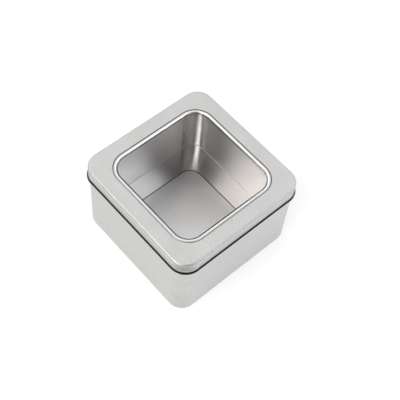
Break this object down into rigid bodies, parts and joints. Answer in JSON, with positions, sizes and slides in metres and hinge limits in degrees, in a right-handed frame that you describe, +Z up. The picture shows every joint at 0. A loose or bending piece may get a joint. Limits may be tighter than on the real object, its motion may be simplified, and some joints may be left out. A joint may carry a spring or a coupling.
{
  "type": "window lid tin",
  "caption": "Square tinplate tin with round corners and a lift-off lid; a clear pane fills the round-cornered window in the lid so that the contents show.",
  "frame": {"origin": "middle of the flat face under the tin that it rests on", "axes": "+Z up out of the tin's mouth, X and Y along its sides"},
  "size_m": [0.102, 0.102, 0.0615],
  "materials": {
    "body_tinplate": "satin tinplate, brighter inside",
    "lid_tinplate": "satin tinplate",
    "clear_pane": "clear and glossy",
    "glue": "milky and soft"
  },
  "bodies": {
    "tin": {"tin_body": "body_tinplate"},
    "lid": {"lid_shell": "lid_tinplate", "window_pane": "clear_pane", "window_adhesive": "glue"}
  },
  "joints": [
    {"name": "lid_lift", "type": "slide", "parent": "tin", "child": "lid", "axis": [0, 0, 1], "range_m": [0, 0.06]}
  ]
}
